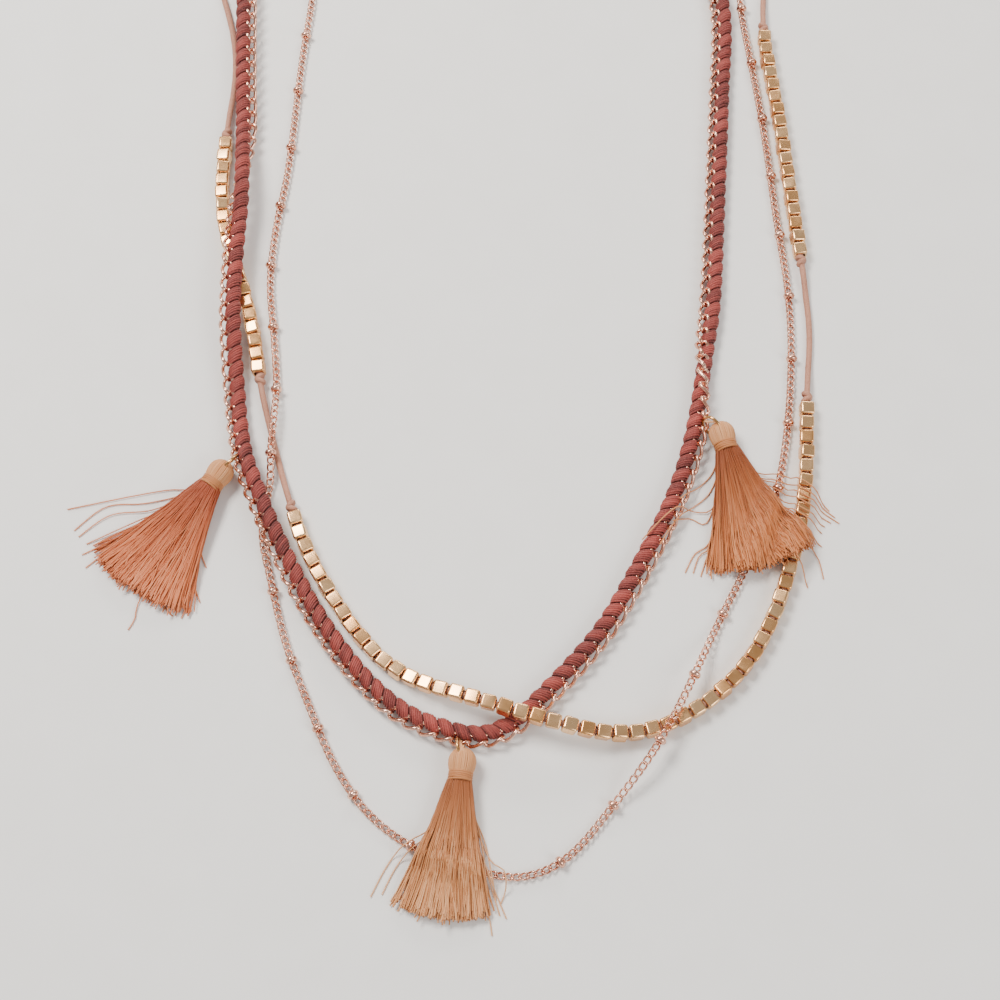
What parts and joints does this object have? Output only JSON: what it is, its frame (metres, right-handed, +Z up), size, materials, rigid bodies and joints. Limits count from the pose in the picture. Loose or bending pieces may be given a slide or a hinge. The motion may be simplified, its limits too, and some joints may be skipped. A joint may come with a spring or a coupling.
{
  "type": "tassel necklace",
  "caption": "Layered necklace: a thread-wrapped rope edged with a curb chain, a cord of cube beads and a fine chain, with short thread tassels on rings.",
  "frame": {"origin": "centre of the whole necklace's bounding box, on the surface that it lies on", "axes": "+X to the wearer's left as it lies facing up, +Y towards the clasp at the back of the neck, +Z up from the surface"},
  "size_m": [0.1454, 0.2607, 0.0075],
  "materials": {
    "wrap_thread": "soft matt floss wound round a core, dusty rose to terracotta",
    "rose_gold_links": "polished pale rose gold plate",
    "cord_thread": "matt spun cord, dusty pink",
    "gold_beads": "polished warm gold plate with a soft edge",
    "fine_rose_chain": "polished pale rose gold plate",
    "tassel_thread": "loose silky thread, peach to tan",
    "tassel_thread_salmon": "loose silky thread, salmon peach",
    "gold_fittings": "polished warm gold plate"
  },
  "bodies": {
    "root": {"wrapped_rope": "wrap_thread", "side_chain": "rose_gold_links", "bead_cord": "cord_thread", "cube_beads": "gold_beads", "fine_chain": "fine_rose_chain", "tassel_left": "tassel_thread_salmon", "tassel_centre": "tassel_thread", "tassel_right": "tassel_thread", "ring_left": "gold_fittings", "ring_centre": "gold_fittings", "ring_right": "gold_fittings", "rope_cap_left": "gold_fittings", "cord_cap_left": "gold_fittings", "chain_cap_left": "gold_fittings", "rope_cap_right": "gold_fittings", "cord_cap_right": "gold_fittings", "chain_cap_right": "gold_fittings", "collector_left": "gold_fittings", "collector_right": "gold_fittings", "back_chain_left": "gold_fittings", "back_chain_right": "gold_fittings", "clasp": "gold_fittings", "clasp_ring": "gold_fittings"}
  },
  "joints": []
}
